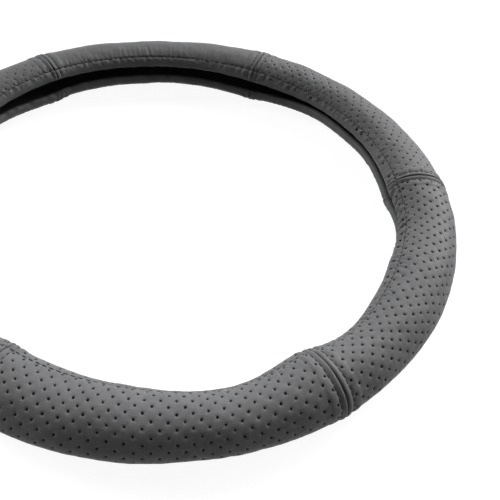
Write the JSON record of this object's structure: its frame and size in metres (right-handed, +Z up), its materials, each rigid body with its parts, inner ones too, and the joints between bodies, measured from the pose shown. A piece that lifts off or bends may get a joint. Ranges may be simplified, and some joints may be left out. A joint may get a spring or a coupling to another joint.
{
  "type": "steering wheel cover",
  "caption": "Ring-shaped steering wheel cover of sewn, perforated dark grey leather over a black rubber ring, open towards the centre to take the wheel's rim.",
  "frame": {"origin": "on the surface that the cover lies on, under the centre of the ring", "axes": "+Z up along the ring's axis, +Y towards the plain panel at the far side of the picture, +X to the picture's right"},
  "size_m": [0.3823, 0.379, 0.0338],
  "materials": {
    "leather": "matte to satin, fine grain, perforated",
    "rubber": "matte",
    "thread": "matte twisted thread"
  },
  "bodies": {
    "root": {"leather_panel_upper_right": "leather", "leather_panel_far": "leather", "leather_panel_upper_left": "leather", "leather_panel_lower_left": "leather", "leather_panel_near": "leather", "leather_panel_lower_right": "leather", "rubber_liner": "rubber", "upper_hem_thread": "thread", "lower_hem_thread": "thread", "seam_1_topstitch_before": "thread", "seam_1_topstitch_after": "thread", "seam_2_topstitch_before": "thread", "seam_2_topstitch_after": "thread", "seam_3_topstitch_before": "thread", "seam_3_topstitch_after": "thread", "seam_4_topstitch_before": "thread", "seam_4_topstitch_after": "thread", "seam_5_topstitch_before": "thread", "seam_5_topstitch_after": "thread", "seam_6_topstitch_before": "thread", "seam_6_topstitch_after": "thread"}
  },
  "joints": []
}
